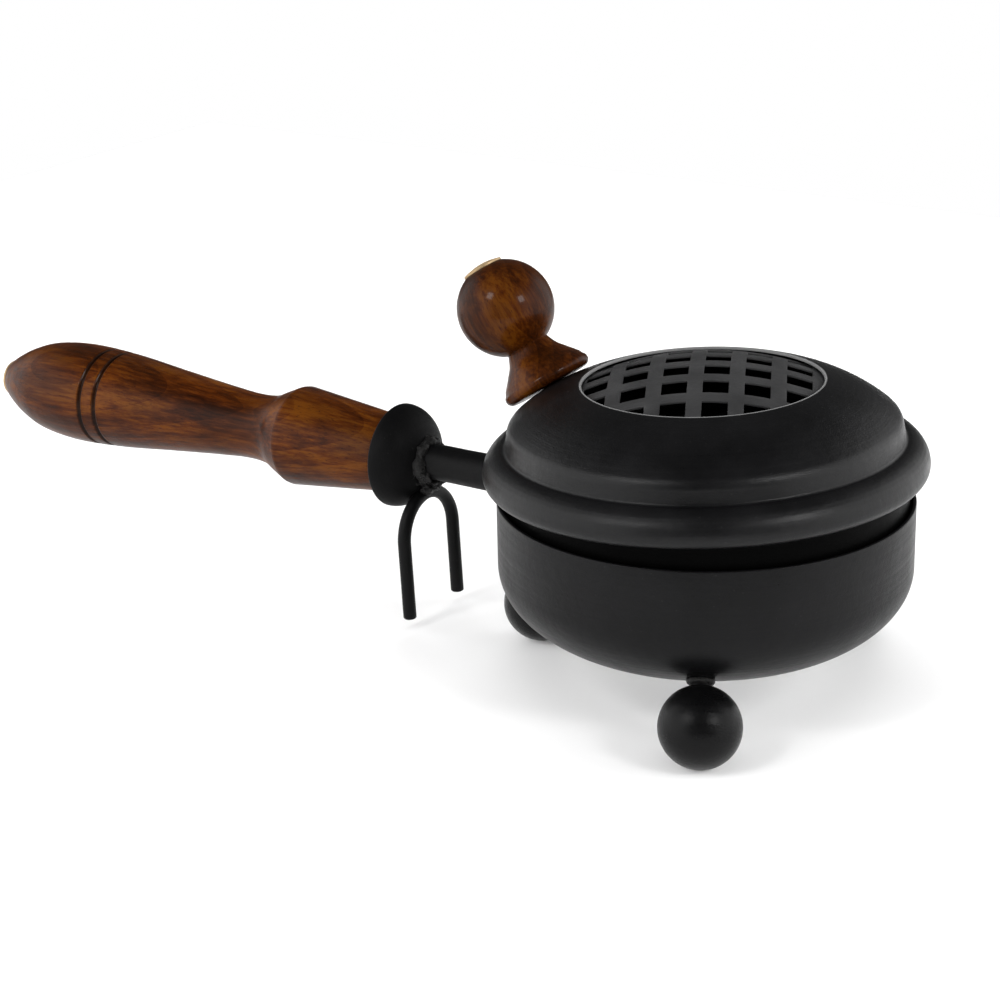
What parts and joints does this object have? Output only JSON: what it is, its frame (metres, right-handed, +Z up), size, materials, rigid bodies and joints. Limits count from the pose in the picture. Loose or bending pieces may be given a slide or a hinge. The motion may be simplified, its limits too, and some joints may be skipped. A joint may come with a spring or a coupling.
{
  "type": "hand-held ember pan",
  "caption": "Long-handled ember pan: a round steel bowl on ball feet, closed by a hinged dome with a pierced grille and a turned wooden knob.",
  "frame": {"origin": "on the bowl's axis at the height of the surface the three ball feet stand on", "axes": "+Z up along the bowl's axis; +X away from the handle, which runs along -X; +Y to the left seen from the handle"},
  "size_m": [0.3588, 0.1372, 0.1275],
  "materials": {
    "blackened_steel": "satin black, spun and lightly scuffed",
    "gloss_black_steel": "semi-gloss black",
    "grille_black": "matt black",
    "weld": "lumpy weld, painted over",
    "turned_wood": "dark walnut under gloss lacquer",
    "cap": "pale, softly polished",
    "zinc": "dull zinc plate"
  },
  "bodies": {
    "pan": {"bowl": "blackened_steel", "foot_ball_rear": "gloss_black_steel", "foot_ball_front_left": "gloss_black_steel", "foot_ball_front_right": "gloss_black_steel", "foot_stud_rear": "blackened_steel", "foot_stud_front_left": "blackened_steel", "foot_stud_front_right": "blackened_steel", "foot_weld_rear": "weld", "foot_weld_front_left": "weld", "foot_weld_front_right": "weld", "handle_rod": "blackened_steel", "rod_root_weld": "weld", "ferrule": "blackened_steel", "ferrule_weld": "weld", "prop_fork": "blackened_steel", "fork_weld": "weld", "grip": "turned_wood", "grip_washer": "zinc", "grip_nut": "zinc", "grip_end_cap": "cap", "hinge_bracket": "blackened_steel", "hinge_pin": "zinc"},
    "lid": {"hinge_leaf": "blackened_steel", "lid_shell": "blackened_steel", "grille": "grille_black", "grille_welds": "weld", "knob": "turned_wood", "knob_bolt": "zinc", "knob_washer": "zinc", "knob_nut": "zinc", "knob_end_cap": "cap"}
  },
  "joints": [
    {"name": "lid_hinge", "type": "hinge", "parent": "pan", "child": "lid", "pos_m": [-0.0709, 0, 0.0652], "axis": [0, -1, 0], "range_deg": [0, 59]}
  ]
}
